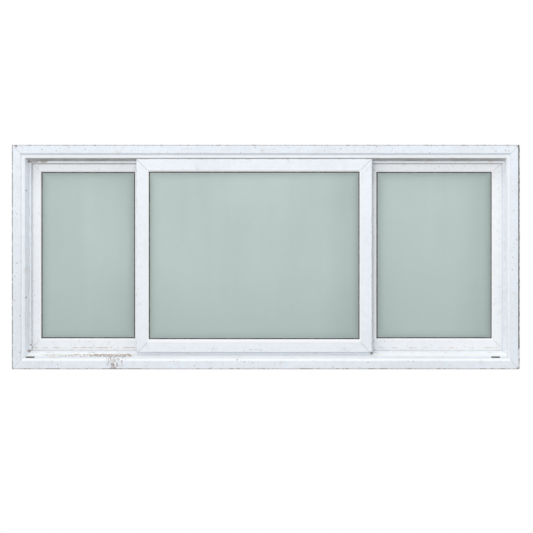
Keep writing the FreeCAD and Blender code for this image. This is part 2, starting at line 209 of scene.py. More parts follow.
# small spots, in a share of the cells
def makeSpecks():
    group, given, result = newGroup(
        "specks",
        [
            ("Vector", "Vector", None), ("Cell", "Float", 0.012), ("Radius", "Float", 0.0016),
            ("Share", "Float", 0.4),
        ],
        [("Mask", "Float")],
    )
    wobble = addNode(group, "ShaderNodeTexNoise")
    feed(group, given["Vector"], wobble.inputs["Vector"])
    feed(group, speckShape["wobbleScale"], wobble.inputs["Scale"])
    feed(group, speckShape["wobbleDetail"], wobble.inputs["Detail"])
    pushed = addNode(group, "ShaderNodeVectorMath", operation="MULTIPLY_ADD")
    feed(group, wobble.outputs["Color"], pushed.inputs[0])
    feed(group, (speckShape["wobblePush"],) * 3, pushed.inputs[1])
    feed(group, given["Vector"], pushed.inputs[2])
    cells = addNode(group, "ShaderNodeTexVoronoi", feature="F1", voronoi_dimensions="3D")
    feed(group, pushed.outputs[0], cells.inputs["Vector"])
    feed(group, calc(group, "DIVIDE", 1.0, given["Cell"]), cells.inputs["Scale"])
    away = times(group, cells.outputs["Distance"], given["Cell"])
    pick = addNode(group, "ShaderNodeSeparateColor")
    feed(group, cells.outputs["Color"], pick.inputs[0])
    size = calc(group, "POWER", pick.outputs[1], speckShape["sizePower"])
    size = calc(group, "MULTIPLY_ADD", size, speckShape["sizeSpread"], speckShape["smallest"])
    size = times(group, size, given["Radius"])
    spot = ramp(group, away, times(group, size, speckShape["core"]), size, 1.0, 0.0)
    chosen = calc(group, "LESS_THAN", pick.outputs[0], given["Share"])
    feed(group, times(group, spot, chosen), result["Mask"])
    return group


mitreShape = {
    "squareToSeam": 0.707,   # a seam at 45 degrees, measured square to it
    "seamCore": 0.4,
}


# distance in from the outer edge of a mitred rectangle, and its four corner seams
def makeMitre():
    group, given, result = newGroup(
        "mitredRectangle",
        [
            ("Vector", "Vector", None), ("Centre X", "Float", 0.0), ("Centre Z", "Float", 0.0),
            ("Half Width", "Float", 1.0), ("Half Height", "Float", 1.0), ("Left Stile", "Float", 0.05),
            ("Right Stile", "Float", 0.05), ("Top Rail", "Float", 0.05), ("Bottom Rail", "Float", 0.05),
            ("Line", "Float", 0.0012),
        ],
        [("Reach", "Float"), ("Across", "Float"), ("Seam", "Float")],
    )
    x, _, z = split(group, given["Vector"])
    offX = calc(group, "ABSOLUTE", calc(group, "SUBTRACT", x, given["Centre X"]))
    offZ = calc(group, "ABSOLUTE", calc(group, "SUBTRACT", z, given["Centre Z"]))
    inX = calc(group, "SUBTRACT", given["Half Width"], offX)
    inZ = calc(group, "SUBTRACT", given["Half Height"], offZ)
    feed(group, calc(group, "MINIMUM", inX, inZ), result["Reach"])
    upper = calc(group, "GREATER_THAN", z, given["Centre Z"])
    extra = calc(group, "SUBTRACT", given["Top Rail"], given["Bottom Rail"])
    rail = calc(group, "MULTIPLY_ADD", extra, upper, given["Bottom Rail"])
    rightward = calc(group, "GREATER_THAN", x, given["Centre X"])
    extra = calc(group, "SUBTRACT", given["Right Stile"], given["Left Stile"])
    stile = calc(group, "MULTIPLY_ADD", extra, rightward, given["Left Stile"])
    acrossX = calc(group, "DIVIDE", inX, stile)
    acrossZ = calc(group, "DIVIDE", inZ, rail)
    feed(group, calc(group, "MINIMUM", acrossX, acrossZ), result["Across"])
    ratio = calc(group, "DIVIDE", stile, rail)
    gap = calc(group, "ABSOLUTE", calc(group, "SUBTRACT", inX, times(group, inZ, ratio)))
    gap = times(group, gap, mitreShape["squareToSeam"])
    seam = ramp(group, gap, times(group, given["Line"], mitreShape["seamCore"]), given["Line"], 1.0, 0.0)
    feed(group, seam, result["Seam"])
    return group


vinylGrain = {
    "broad": (2.6, 4.0),                      # noise scale, detail, roughness
    "close": (42.0, 4.0, 0.62),
    "broadShare": 0.55,
    "agedRange": (0.40, 0.66),
    "alongX": (14.0, 420.0, 420.0),           # extrusion lines, drawn out along each axis
    "alongZ": (420.0, 420.0, 14.0),
    "lineNoise": (1.0, 2.0),
    "scuffRange": (0.58, 0.70, 0.0, 0.30),
    "closeRough": 0.22,
    "agedRough": 0.15,
    "fine": (900.0, 2.0),
    "fineShare": 0.35,
}


# sun-bleached vinyl: mottled colour, uneven gloss, fine extrusion grain
def makeAgedVinyl():
    group, given, result = newGroup(
        "agedVinyl",
        [
            ("Vector", "Vector", None), ("Clean", "Color", None), ("Aged", "Color", None),
            ("Age", "Float", 0.5), ("Gloss", "Float", 0.34),
        ],
        [("Colour", "Color"), ("Roughness", "Float"), ("Height", "Float")],
    )
    broad = cloud(group, given["Vector"], *vinylGrain["broad"])
    close = cloud(group, given["Vector"], *vinylGrain["close"])
    mottled = shareOf(group, broad, vinylGrain["broadShare"], close)
    age = times(group, ramp(group, mottled, *vinylGrain["agedRange"]), given["Age"])
    alongX = cloud(group, stretch(group, given["Vector"], vinylGrain["alongX"]), *vinylGrain["lineNoise"])
    alongZ = cloud(group, stretch(group, given["Vector"], vinylGrain["alongZ"]), *vinylGrain["lineNoise"])
    lines = shareOf(group, alongX, 0.5, alongZ)
    colour = tint(group, age, given["Clean"], given["Aged"])
    colour = tint(group, ramp(group, lines, *vinylGrain["scuffRange"]), colour, given["Aged"])
    feed(group, colour, result["Colour"])
    rough = calc(group, "MULTIPLY_ADD", close, vinylGrain["closeRough"], given["Gloss"])
    rough = calc(group, "MULTIPLY_ADD", age, vinylGrain["agedRough"], rough)
    feed(group, rough, result["Roughness"])
    grain = cloud(group, given["Vector"], *vinylGrain["fine"])
    feed(group, shareOf(group, grain, vinylGrain["fineShare"], lines), result["Height"])
    return group


grimeGrain = {
    "lumps": (6.0, 0.68),                     # noise detail, roughness
    "heldRange": (0.80, 0.92),
    "regionGain": 3.0,
    "grains": (620.0, 3.0, 0.6),
    "grainRange": (0.34, 0.58, 0.45, 1.0),
}


# dirt that gathers where the region asks for it, broken up by noise
def makeGrime():
    group, given, result = newGroup(
        "settledGrime",
        [
            ("Vector", "Vector", None), ("Region", "Float", 0.0), ("Scale", "Float", 60.0),
            ("Cover", "Float", 0.45),
        ],
        [("Mask", "Float")],
    )
    lumps = cloud(group, given["Vector"], given["Scale"], *grimeGrain["lumps"])
    level = calc(group, "MULTIPLY_ADD", given["Region"], given["Cover"], lumps)
    held = ramp(group, level, *grimeGrain["heldRange"])
    near = calc(group, "MULTIPLY", given["Region"], grimeGrain["regionGain"], clamp=True)
    grains = cloud(group, given["Vector"], *grimeGrain["grains"])
    grains = ramp(group, grains, *grimeGrain["grainRange"])
    feed(group, times(group, held, near, grains), result["Mask"])
    return group


edgeGrain = {
    "runs": (4.0, 0.6),                       # noise detail, roughness
    "heldRange": (0.56, 0.66),
    "core": 0.5,                              # share of the width that is fully covered
}


# broken dark marks along an edge
def makeEdgeMarks():
    group, given, result = newGroup(
        "edgeMarks",
        [
            ("Vector", "Vector", None), ("Reach", "Float", 0.0), ("Width", "Float", 0.003),
            ("Scale", "Float", 40.0), ("Cover", "Float", 0.0),
        ],
        [("Mask", "Float")],
    )
    runs = cloud(group, given["Vector"], given["Scale"], *edgeGrain["runs"])
    held = ramp(group, calc(group, "ADD", runs, given["Cover"]), *edgeGrain["heldRange"])
    core = times(group, given["Width"], edgeGrain["core"])
    band = ramp(group, given["Reach"], core, given["Width"], 1.0, 0.0)
    feed(group, times(group, held, band), result["Mask"])
    return group


specksGroup = makeSpecks()
mitreGroup = makeMitre()
vinylGroup = makeAgedVinyl()
grimeGroup = makeGrime()
edgeGroup = makeEdgeMarks()
print("shader groups made")


def newSkin(name, base=None):
    # a material in the making: its tree, its coordinates and the colour so far
    material = bpy.data.materials.new(name)
    material.use_nodes = True
    tree = material.node_tree
    return SimpleNamespace(
        material=material, tree=tree, shader=tree.nodes["Principled BSDF"],
        coords=addNode(tree, "ShaderNodeTexCoord").outputs["Object"],
        colour=paint(*base) if base else None,
    )


def lay(skin, shade, *amounts):
    # a shade over the colour so far, by all the amounts multiplied
    skin.colour = tint(skin.tree, times(skin.tree, *amounts), skin.colour, paint(*shade))


def finishSkin(skin, rough, height, bump):
    strength, distance = bump
    feed(skin.tree, skin.colour, skin.shader.inputs["Base Color"])
    feed(skin.tree, rough, skin.shader.inputs["Roughness"])
    node = addNode(skin.tree, "ShaderNodeBump")
    feed(skin.tree, height, node.inputs["Height"])
    node.inputs["Strength"].default_value = strength
    node.inputs["Distance"].default_value = distance
    feed(skin.tree, node.outputs[0], skin.shader.inputs["Normal"])
    return skin.material


def patchy(skin, noise, limits, drawn=None):
    # noise on the surface, sharpened between two limits, or drawn out first
    vector = stretch(skin.tree, skin.coords, drawn) if drawn else skin.coords
    return ramp(skin.tree, cloud(skin.tree, vector, *noise), *limits)


def specks(skin, cell, radius, share):
    values = {"Vector": skin.coords, "Cell": cell, "Radius": radius, "Share": share}
    return useGroup(skin.tree, specksGroup, values)["Mask"]


def grime(skin, region, scale, cover, drawn=None):
    vector = stretch(skin.tree, skin.coords, drawn) if drawn else skin.coords
    values = {"Vector": vector, "Region": region, "Scale": scale, "Cover": cover}
    return useGroup(skin.tree, grimeGroup, values)["Mask"]


def edgeMarks(skin, width, scale, cover):
    values = {"Vector": skin.coords, "Reach": skin.reach, "Width": width, "Scale": scale, "Cover": cover}
    return useGroup(skin.tree, edgeGroup, values)["Mask"]


def agedVinyl(skin, look):
    return useGroup(skin.tree, vinylGroup, {
        "Vector": skin.coords, "Clean": paint(*look["clean"]), "Aged": paint(*look["aged"]),
        "Age": look["age"], "Gloss": look["gloss"],
    })


def mitred(skin, low, high, more):
    return useGroup(skin.tree, mitreGroup, {
        "Vector": skin.coords, "Centre X": (low.x + high.x) / 2, "Centre Z": (low.z + high.z) / 2,
        "Half Width": (high.x - low.x) / 2, "Half Height": (high.z - low.z) / 2, **more,
    })


def facingUp(tree):
    # 1 where the surface looks up, -1 where it looks down
    return split(tree, addNode(tree, "ShaderNodeNewGeometry").outputs["Normal"])[2]


def dab(skin, spotX, spotZ, radius):
    # soft round patch at a place on the face
    core = radius * 0.2     # fully covered as far out as this
    dx = calc(skin.tree, "SUBTRACT", skin.x, spotX)
    dz = calc(skin.tree, "SUBTRACT", skin.z, spotZ)
    squares = calc(skin.tree, "MULTIPLY_ADD", dx, dx, times(skin.tree, dz, dz))
    return ramp(skin.tree, calc(skin.tree, "SQRT", squares), core, radius, 1.0, 0.0)


# In these looks a colour is 0 to 255, noise is scale, detail and roughness, a band is low, high and
# softness, and a ramp is low and high with the values there. Places are metres.
vinylLook = {
    "clean": (239, 245, 253),
    "aged": (223, 227, 231),
    "age": 0.42,
    "gloss": 0.34,
    "seam": (138, 134, 130),
    "seamWidth": 0.0016,
    "seamStrength": 0.26,
    "speck": (128, 104, 84),
    "spots": (0.017, 0.0034, 0.70),           # cell, radius, share of the cells
    "spotStrength": 0.62,
    "dots": (0.010, 0.0025, 0.80),
    "dotStrength": 0.36,
    "stain": (206, 192, 178),
    "stainPatches": ((26.0, 6.0, 0.66), (0.58, 0.70, 0.0, 0.32)),
    "weatherDepth": 0.045,                    # behind this the vinyl is cleaner
    "shelter": (0.0, 0.006, 1.0, 0.3),
    # dirt and painted shade, in crevices and along gaps
    "crevice": (146, 134, 120),
    "grime": (134, 100, 66),
    "bump": (0.35, 0.0006),                   # strength, height
}


def startVinyl(name, look, low, high, widths):
    # the part of the recipe that every white extrusion shares
    skin = newSkin(name)
    skin.x, skin.y, skin.z = split(skin.tree, skin.coords)
    aged = agedVinyl(skin, look)
    mitre = mitred(skin, low, high, {"Line": look["seamWidth"], **widths})
    skin.reach = mitre["Reach"]
    skin.across = mitre["Across"]
    skin.rough = aged["Roughness"]
    skin.height = calc(skin.tree, "SUBTRACT", aged["Height"], mitre["Seam"])
    skin.colour = aged["Colour"]
    lay(skin, look["seam"], mitre["Seam"], look["seamStrength"])
    weather = rampFrom(skin.tree, skin.y, look["weatherDepth"], *look["shelter"])
    lay(skin, look["speck"], specks(skin, *look["spots"]), weather, look["spotStrength"])
    lay(skin, look["speck"], specks(skin, *look["dots"]), weather, look["dotStrength"])
    lay(skin, look["stain"], patchy(skin, *look["stainPatches"]))
    return skin


frameWear = {
    "outside": (0.040, 0.044, 1.0, 0.0),      # depth at which the weather side ends
    "lipLine": (0.0404, 0.0416, 0.0010),      # bands counted in from the frame's outer edge
    "ribLine": (0.0648, 0.0668, 0.0012),
    "lipEdge": (0.0405, 0.0440, 0.0010),
    "headLip": (0.0415, 0.0500, 0.0010),
    "rightSlope": (0.0540, 0.0640, 0.0010),
    "headLevel": (0.825, 0.830),
    "rightPlace": (0.95, 0.96),
    "lineBreaks": ((26.0, 4.0, 0.6), (0.40, 0.62)),
    "lineStrength": 0.22,
    # painted highlight on the lip and the right jamb's slope
    "lipWhite": (248, 252, 255),
    "lipStrength": 0.90,
    # painted light on the sill's faces that look up
    "upwardLight": (251, 250, 247),
    "upwardLightFacing": (0.45, 0.75, 0.0, 0.6),
    "upwardLightLevel": (0.10, 0.20, 1.0, 0.0),
    # dust colour, laid as dust and painted shade on the faces that look down
    "dust": (168, 154, 140),
    "dustAndShadeFacing": (-0.85, -0.35, 1.0, 0.0),
    "dustDepth": (0.004, 0.012),
    "dustPatches": ((18.0, 5.0, 0.6), (0.25, 0.75, 0.52, 0.84)),
}


def wearFrame(skin):
    tree = skin.tree

    def band(name):
        return within(tree, skin.reach, *frameWear[name])

    # dirt and painted shade in thin lines in the two inner corners of the section
    lines = strongest(tree, [band("lipLine"), band("ribLine")])
    breaks = patchy(skin, *frameWear["lineBreaks"])
    lay(skin, vinylLook["crevice"], lines, breaks, skin.outside, frameWear["lineStrength"])
    # painted highlight: the lip is whitened along its outer edge, and all over under the head; so is the
    # right jamb's slope
    headLip = times(tree, band("headLip"), ramp(tree, skin.z, *frameWear["headLevel"]))
    rightSlope = times(tree, band("rightSlope"), ramp(tree, skin.x, *frameWear["rightPlace"]))
    white = strongest(tree, [band("lipEdge"), headLip, rightSlope])
    lay(skin, frameWear["lipWhite"], white, skin.outside, frameWear["lipStrength"])
    # painted light from above makes the sill's upward faces a plainer white; dust colour and painted
    # shade dull the faces that look down
    up = facingUp(tree)
    upwardLight = ramp(tree, up, *frameWear["upwardLightFacing"])
    lay(skin, frameWear["upwardLight"], upwardLight, skin.outside, ramp(tree, skin.z, *frameWear["upwardLightLevel"]))
    # dust colour and painted shade on the faces that look down, deep in the frame
    under = ramp(tree, up, *frameWear["dustAndShadeFacing"])
    deep = ramp(tree, skin.y, *frameWear["dustDepth"])
    lay(skin, frameWear["dust"], under, deep, patchy(skin, *frameWear["dustPatches"]))


sillGrime = {
    "wash": (-0.900, -0.552, 0.04),               # along the sill
    "washAmount": 0.86,
    "heavy": (-0.700, -0.552, 0.05),
    "heavyAmount": 0.22,
    "ledge": (0.0355, 0.0430, 0.0045),
    "drain": (125.0, 0.37, (0.70, 1.0, 1.0)),     # scale, cover, drawn out by
    "drainStrength": 0.86,
    "drainRough": 0.35,
    "drip": (124, 88, 56),
    "dripPlace": (-0.634, -0.590, 0.045),
    "dripLevel": (-0.03, 0.036, 0.003),
    "drips": (190.0, 0.345, (1.0, 1.0, 0.32)),
    "dripStrength": 0.80,
    "corner": (108, 76, 48),
    "cornerDabs": (                               # place across, place up, radius
        (-1.0135, 0.8780, 0.012),
        (-0.9660, 0.8190, 0.010),
        (-0.9650, 0.0570, 0.014),
        (-0.9600, 0.0820, 0.009),
        (-0.9750, 0.7020, 0.006),
        (-0.9750, 0.2720, 0.006),
        (-0.1155, 0.0210, 0.007),
        (1.0240, -0.0110, 0.010),
        (1.0255, 0.8790, 0.009),
    ),
    "headLinePlace": (-0.970, -0.893, 0.006),
    "headLineLevel": (0.8150, 0.8185, 0.002),
    "corners": (150.0, 0.44),
    "cornerStrength": 0.88,
}


def soilFrame(skin):
    tree = skin.tree
    # grime washed along the sill, heavier towards the centre panel
    wash = times(tree, within(tree, skin.x, *sillGrime["wash"]), skin.outside)
    heavy = times(tree, within(tree, skin.x, *sillGrime["heavy"]), skin.outside)
    wash = times(tree, wash, sillGrime["washAmount"])
    amount = calc(tree, "MULTIPLY_ADD", heavy, sillGrime["heavyAmount"], wash)
    ledge = within(tree, skin.z, *sillGrime["ledge"])
    drain = grime(skin, times(tree, amount, ledge), *sillGrime["drain"])
    lay(skin, vinylLook["grime"], drain, sillGrime["drainStrength"])
    skin.rough = calc(tree, "MULTIPLY_ADD", drain, sillGrime["drainRough"], skin.rough)
    # runs down the face of the sill below it
    runs = within(tree, skin.x, *sillGrime["dripPlace"])
    runs = times(tree, runs, skin.outside, within(tree, skin.z, *sillGrime["dripLevel"]))
    lay(skin, sillGrime["drip"], grime(skin, runs, *sillGrime["drips"]), sillGrime["dripStrength"])
    # dabs in the corners, and a short line under the head
    headLine = within(tree, skin.x, *sillGrime["headLinePlace"])
    headLine = times(tree, headLine, within(tree, skin.z, *sillGrime["headLineLevel"]))
    dabs = [dab(skin, *spot) for spot in sillGrime["cornerDabs"]]
    dabs = times(tree, strongest(tree, [*dabs, headLine]), skin.outside)
    lay(skin, sillGrime["corner"], grime(skin, dabs, *sillGrime["corners"]), sillGrime["cornerStrength"])


finRim = {
    # dirt and painted shade along the fin's outer edge
    "rim": (126, 122, 118),
    "rimReach": (0.0020, 0.0042, 0.54, 0.0),
    "chip": (96, 84, 72),
    "chipStrength": 0.72,
    "chipWidth": 0.0046,
    "chipScale": 34.0,
    "chipsLeft": (0.002, 0.010, 0.15, 0.05),      # cover, from the left edge
    "chipsBelow": (-0.663, -0.509, 0.02),         # more of them on this stretch of the lower edge
    "chipsBelowCover": 0.12,
    "lowerEdge": (0.004, 0.010, 1.0, 0.0),
    "smear": (34, 33, 32),
    "smearPlace": (-0.0048, -0.0038),             # from the right edge
    "smearLevel": (0.055, 0.070),
    "smearPatches": ((30.0, 4.0, 0.65), (0.36, 0.50, 0.72, 0.98)),
}


def soilRim(skin):
    # grey rim of the fin, dirt and painted shade, with dark chips in it and old sealant smeared along the
    # right edge
    tree = skin.tree
    lay(skin, finRim["rim"], ramp(tree, skin.reach, *finRim["rimReach"]))
    cover = rampFrom(tree, skin.x, frameLow.x, *finRim["chipsLeft"])
    below = times(tree, within(tree, skin.x, *finRim["chipsBelow"]), finRim["chipsBelowCover"])
    lowerEdge = rampFrom(tree, skin.z, frameLow.z, *finRim["lowerEdge"])
    cover = calc(tree, "MULTIPLY_ADD", below, lowerEdge, cover)
    chips = edgeMarks(skin, finRim["chipWidth"], finRim["chipScale"], cover)
    lay(skin, finRim["chip"], chips, finRim["chipStrength"])
    smear = rampFrom(tree, skin.x, frameHigh.x, *finRim["smearPlace"])
    level = ramp(tree, skin.z, *finRim["smearLevel"])
    lay(skin, finRim["smear"], smear, level, patchy(skin, *finRim["smearPatches"]))


weepLook = {
    "slots": ((-0.9755, -0.9405, 0.0004), (0.9165, 0.9515, 0.0004)),
    "slot": (34, 26, 20),
    "slotLevel": (0.0296, 0.0334, 0.0006),
    "slotDepth": (0.0034, 0.0044),
    "halo": (112, 90, 72),
    "haloLevel": (0.0290, 0.0362, 0.0010),
    "haloStrength": 0.46,
}


def stainAndShadeWeeps(skin):
    # the weep slots are painted near-black inside, painted shade with a dirt tint, and the lip above them
    # is stained a little
    tree = skin.tree
    slots = strongest(tree, [within(tree, skin.x, *slot) for slot in weepLook["slots"]])
    halo = within(tree, skin.z, *weepLook["haloLevel"])
    lay(skin, weepLook["halo"], halo, slots, skin.outside, weepLook["haloStrength"])
    # painted shade inside the slots
    level = within(tree, skin.z, *weepLook["slotLevel"])
    depth = ramp(tree, skin.y, *weepLook["slotDepth"])
    lay(skin, weepLook["slot"], level, depth, skin.outside, slots)


def makeFrameVinyl():
    skin = startVinyl("frameVinyl", vinylLook, frameLow, frameHigh, {})
    skin.outside = ramp(skin.tree, skin.y, *frameWear["outside"])
    wearFrame(skin)
    soilFrame(skin)
    soilRim(skin)
    stainAndShadeWeeps(skin)
    return finishSkin(skin, skin.rough, skin.height, vinylLook["bump"])


bevelLook = {
    # painted highlight
    "white": (255, 255, 255),
    "across": (0.87, 0.90),                       # share of the member's width
    "facing": (0.1, 0.5, 0.95, 0.30),
}


def brightenBevel(skin):
    # painted highlight on the bevel beside the glass, weaker where the bevel looks up
    bevel = ramp(skin.tree, skin.across, *bevelLook["across"])
    lay(skin, bevelLook["white"], bevel, ramp(skin.tree, facingUp(skin.tree), *bevelLook["facing"]))


centreLook = {
    **vinylLook,
    "clean": (244, 249, 255),
    "aged": (229, 233, 238),
    "seamStrength": 0.42,
    "weatherDepth": 0.014,
    "front": (0.004, 0.008, 1.0, 0.0),            # how deep the front face reaches
    "scuff": (158, 152, 146),
    "scuffPlace": (-0.084, -0.004, 0.012),
    "scuffMiddle": -0.044,
    "scuffBow": 3.0,
    "scuffLevel": (0.0615, 0.0635, 0.0020),
    "scuffBreaks": ((70.0, 3.0, 0.5), (0.35, 0.6)),
    "scuffStrength": 0.40,
    "corner": (70, 62, 54),
    "cornerPlace": (-0.002, 0.003),               # from the panel's lower right corner
    "cornerRadius": 0.012,
    "cornerGrime": (140.0, 0.6),
    "cornerStrength": 0.85,
    "edge": (0.0024, 30.0, 0.06),                 # width, scale, cover
    "edgeStrength": 0.40,
}


def makeCentreVinyl():
    look = centreLook
    members = ["centre_" + member for member in ("left_stile", "right_stile", "top_rail", "bottom_rail")]
    low, high, widths = panelOf(*members)
    skin = startVinyl("centreVinyl", look, low, high, widths)
    tree = skin.tree
    outside = rampFrom(tree, skin.y, low.y, *look["front"])
    # scuffed arc on the bottom rail and a dirty lower corner
    arc = within(tree, skin.x, *look["scuffPlace"])
    bow = calc(tree, "POWER", calc(tree, "SUBTRACT", skin.x, look["scuffMiddle"]), 2.0)
    bow = times(tree, bow, look["scuffBow"])
    line = within(tree, calc(tree, "ADD", skin.z, bow), *look["scuffLevel"])
    breaks = patchy(skin, *look["scuffBreaks"])
    lay(skin, look["scuff"], arc, outside, line, breaks, look["scuffStrength"])
    cornerX, cornerZ = look["cornerPlace"]
    corner = dab(skin, high.x + cornerX, low.z + cornerZ, look["cornerRadius"])
    lay(skin, look["corner"], grime(skin, corner, *look["cornerGrime"]), look["cornerStrength"])
    lay(skin, look["crevice"], edgeMarks(skin, *look["edge"]), outside, look["edgeStrength"])
    brightenBevel(skin)
    return finishSkin(skin, skin.rough, skin.height, look["bump"])


sashLook = {
    **vinylLook,
    # left stile and right stile of each sash
    "stiles": {"left": ("jamb_stile", "meeting_stile"), "right": ("meeting_stile", "jamb_stile")},
    "dirtiness": {"left": 1.0, "right": 0.65},
    "clean": (249, 252, 255),
    "aged": (234, 238, 246),
    "stain": (214, 208, 206),
    "seamStrength": 0.40,
    "weatherDepth": 0.056,
    "front": (0.004, 0.008),                      # how deep the front face reaches
    "dull": (190, 190, 192),
    "dullLevel": (0.030, 0.070, 0.14, 0.0),       # up from the panel's lower edge
    "lowLevel": (0.006, 0.026, 1.0, 0.0),
    "lowGrime": (150.0, 0.26, (0.4, 1.0, 1.0)),
    "lowStrength": 0.40,
    "dashLevel": (0.0690, 0.0712, 0.0010),
    "dashBreaks": ((60.0, 4.0, 0.6), (0.46, 0.60), (0.6, 1.0, 1.0)),
    "dashStrength": 0.55,
    # painted shadow of the rib on the sash
    "ribShadowReach": (0.0700, 0.0790, 0.0014),        # in from the frame's outer edge
    "ribShadowLevel": (0.70, 0.80, 0.07, 0.36),
    "edgeReach": (0.012, 0.020, 1.0, 0.0),
    "edgeGrimeAndShade": (90.0, 0.22),
    "edgeStrength": 0.35,
}


def makeSashVinyl(side):
    look = sashLook
    members = [side + "_sash_" + member for member in (*look["stiles"][side], "top_rail", "bottom_rail")]
    low, high, widths = panelOf(*members)
    skin = startVinyl(side + "SashVinyl", look, low, high, widths)
    tree = skin.tree
    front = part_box(side + "_sash_bottom_rail")[0].y
    outside = rampFrom(tree, skin.y, front, *look["front"], look["dirtiness"][side], 0.0)
    # rain dust gathers low on the panel
    lay(skin, look["dull"], rampFrom(tree, skin.z, low.z, *look["dullLevel"]), outside)
    lowBand = times(tree, rampFrom(tree, skin.z, low.z, *look["lowLevel"]), outside)
    lay(skin, look["grime"], grime(skin, lowBand, *look["lowGrime"]), look["lowStrength"])
    # dashes of dirt where the rail has stood behind the rib
    line = within(tree, skin.z, *look["dashLevel"])
    lay(skin, look["grime"], line, outside, patchy(skin, *look["dashBreaks"]), look["dashStrength"])
    # and a dark line all round, a painted shadow of the rib in front of the sash, strongest at the top
    frameReach = mitred(skin, frameLow, frameHigh, {})["Reach"]
    ribShadow = within(tree, frameReach, *look["ribShadowReach"])
    lay(skin, look["crevice"], ribShadow, outside, ramp(tree, skin.z, *look["ribShadowLevel"]))
    # dirt and painted shade along the outer edge, beside the rib
    edge = ramp(tree, skin.reach, *look["edgeReach"])
    lay(skin, look["crevice"], grime(skin, edge, *look["edgeGrimeAndShade"]), look["edgeStrength"])
    brightenBevel(skin)
    return finishSkin(skin, skin.rough, skin.height, look["bump"])


beadLook = {
    "clean": (236, 240, 245),
    "aged": (222, 224, 224),
    "age": 0.30,
    "gloss": 0.30,
    "spots": (0.020, 0.0016, 0.2),
    "spotStrength": 0.5,
}


def makeBeadVinyl():
    skin = newSkin("beadVinyl")
    aged = agedVinyl(skin, beadLook)
    skin.colour = aged["Colour"]
    lay(skin, vinylLook["speck"], specks(skin, *beadLook["spots"]), beadLook["spotStrength"])
    return finishSkin(skin, aged["Roughness"], aged["Height"], vinylLook["bump"])


glassLook = {
    "outer": (214, 227, 224),
    "outerAged": (209, 222, 219),
    # painted shade towards the bottom
    "outerLow": (201, 215, 211),
    "outerFrost": 0.42,
    "outerClear": 0.50,
    "inner": (236, 243, 241),
    "innerFrost": 0.10,
    "innerClear": 0.92,
    "refraction": 1.45,
    "filmNoise": (3.2, 5.0, 0.6),
    "filmDrawn": (1.0, 1.0, 0.6),
    "runNoise": (1.0, 4.0, 0.6),
    "runDrawn": (16.0, 16.0, 1.3),
    "runShare": 0.25,
    "veilRange": (0.38, 0.64),
    "veilRough": 0.22,
    "spot": (226, 232, 230),
    "spots": (0.030, 0.0016, 0.18),
    "spotStrength": 0.25,
    "ripple": (190.0, 3.0, 0.5),
    "bump": (0.18, 0.0006),
    "lowLevel": (0.08, 0.44, 0.70, 0.0),
    "rim": (149, 162, 159),
    "rimReach": (0.0130, 0.0500, 0.20, 0.0),      # painted shade, in from the hidden edge of the gasket
    # painted shadow of the spacer
    "spacerLine": (0.0185, 0.0215, 0.002),
    "spacerStrength": 0.10,
    "rightShadeReach": 0.19,                            # painted shade along the right edge of each light
    "filmAndShade": {"left": 0.07, "centre": 0.23, "right": 0.27},
}


def startGlass(name, clean, aged, frost, clear):
    skin = newSkin(name, clean)
    tree = skin.tree
    filmAndShade = cloud(tree, stretch(tree, skin.coords, glassLook["filmDrawn"]), *glassLook["filmNoise"])
    runs = cloud(tree, stretch(tree, skin.coords, glassLook["runDrawn"]), *glassLook["runNoise"])
    veil = shareOf(tree, runs, glassLook["runShare"], filmAndShade)
    lay(skin, aged, ramp(tree, veil, *glassLook["veilRange"]))
    lay(skin, glassLook["spot"], specks(skin, *glassLook["spots"]), glassLook["spotStrength"])
    skin.rough = calc(tree, "MULTIPLY_ADD", veil, glassLook["veilRough"], frost)
    skin.height = cloud(tree, skin.coords, *glassLook["ripple"])
    skin.shader.inputs["Transmission Weight"].default_value = clear
    skin.shader.inputs["IOR"].default_value = glassLook["refraction"]
    return skin


def makeOuterGlass(side, gasket):
    look = glassLook
    low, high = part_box(gasket)
    skin = startGlass(
        side + "OuterGlass", look["outer"], look["outerAged"], look["outerFrost"], look["outerClear"],
    )
    tree = skin.tree
    x, _, z = split(tree, skin.coords)
    # painted shade: the glass is darker downwards and towards the gasket
    lay(skin, look["outerLow"], ramp(tree, z, *look["lowLevel"]))
    reach = mitred(skin, low, high, {})["Reach"]
    shade = ramp(tree, reach, *look["rimReach"])
    # a thin painted shadow of the spacer
    line = times(tree, within(tree, reach, *look["spacerLine"]), look["spacerStrength"])
    # painted shade along the right edge
    filmAndShade = ramp(tree, x, high.x - look["rightShadeReach"], high.x, 0.0, look["filmAndShade"][side])
    lay(skin, look["rim"], calc(tree, "ADD", calc(tree, "ADD", shade, line), filmAndShade))
    return finishSkin(skin, skin.rough, skin.height, look["bump"])


def makeInnerGlass():
    look = glassLook
    skin = startGlass("innerGlass", look["inner"], look["inner"], look["innerFrost"], look["innerClear"])
    return finishSkin(skin, skin.rough, skin.height, look["bump"])


gasketLook = {
    "rubber": (46, 48, 49),
    "dusty": (112, 112, 108),
    "dustPatches": ((70.0, 5.0, 0.65), (0.42, 0.70)),
    "nick": (28, 29, 30),
    "nicks": (0.010, 0.0028, 0.35),
    "nickStrength": 0.6,
    "rough": 0.58,
    "dustRough": 0.25,
    "grain": (500.0, 3.0),
    "bump": (0.4, 0.0004),
}


def makeGasket():
    skin = newSkin("glazingRubber", gasketLook["rubber"])
    dusty = patchy(skin, *gasketLook["dustPatches"])
    lay(skin, gasketLook["dusty"], dusty)
    lay(skin, gasketLook["nick"], specks(skin, *gasketLook["nicks"]), gasketLook["nickStrength"])
    rough = calc(skin.tree, "MULTIPLY_ADD", dusty, gasketLook["dustRough"], gasketLook["rough"])
    grain = cloud(skin.tree, skin.coords, *gasketLook["grain"])
    return finishSkin(skin, rough, grain, gasketLook["bump"])


